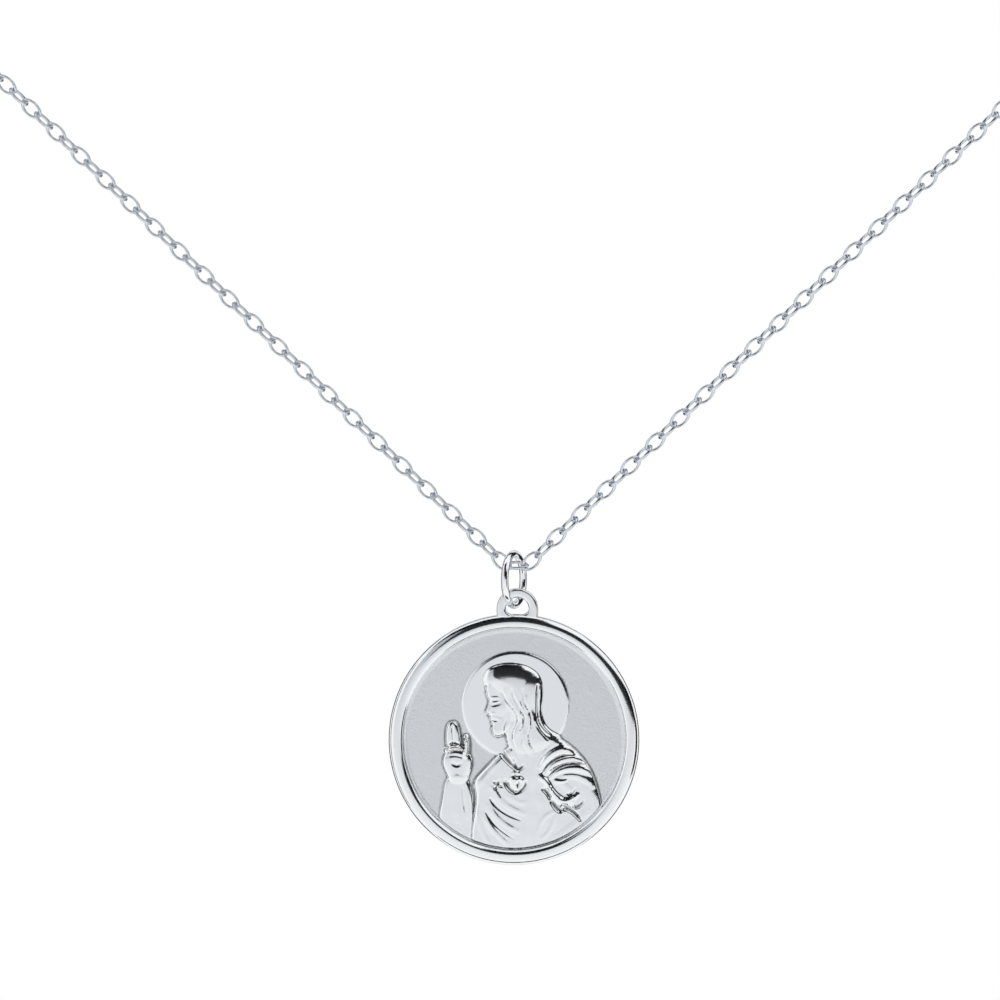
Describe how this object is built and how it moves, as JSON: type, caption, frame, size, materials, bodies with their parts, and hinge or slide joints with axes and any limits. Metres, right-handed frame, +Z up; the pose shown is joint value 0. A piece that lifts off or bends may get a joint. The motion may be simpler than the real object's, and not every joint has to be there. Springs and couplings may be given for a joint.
{
  "type": "round pendant medal necklace",
  "caption": "Round medal with a raised rim and a relief figure, hung by a jump ring from a fine cable chain with a spring ring clasp.",
  "frame": {"origin": "centre of the chain's upper round, where the neck is", "axes": "+Z up, the medal faces -Y, +X is to the right as the medal is seen from its front"},
  "size_m": [0.1272, 0.0044, 0.1765],
  "materials": {
    "medal_silver": "polished rim and figure, fine matt field",
    "wire_silver": "polished",
    "chain_silver": "polished",
    "spring_steel": "drawn wire"
  },
  "bodies": {
    "chain": {"lowest_link": "chain_silver", "left_facing_links": "chain_silver", "left_cross_links": "chain_silver", "right_facing_links": "chain_silver", "right_cross_links": "chain_silver", "neck_left_facing_links": "chain_silver", "neck_left_cross_links": "chain_silver", "neck_right_facing_links": "chain_silver", "neck_right_cross_links": "chain_silver", "clasp_case": "wire_silver", "clasp_spring": "spring_steel", "connector_ring": "wire_silver", "end_ring": "wire_silver"},
    "jump_ring": {"jump_ring": "wire_silver"},
    "medal": {"medal": "medal_silver"},
    "clasp_bolt": {"clasp_bolt": "wire_silver"}
  },
  "joints": [
    {"name": "ring_sway", "type": "hinge", "parent": "chain", "child": "jump_ring", "pos_m": [0, 0, -0.08659], "axis": [1, 0, 0], "range_deg": [-30, 30]},
    {"name": "medal_swing", "type": "hinge", "parent": "jump_ring", "child": "medal", "pos_m": [-0.0002, 0, -0.08977], "axis": [0, 1, 0], "range_deg": [-40, 40]},
    {"name": "clasp_open", "type": "hinge", "parent": "chain", "child": "clasp_bolt", "pos_m": [0.00045, 0, 0.06277], "axis": [0, -0.9063, 0.4226], "range_deg": [0, 62], "stiffness_Nm_per_rad": 0.0005, "springref_deg": -28.65, "deforming": ["clasp_spring"]}
  ]
}
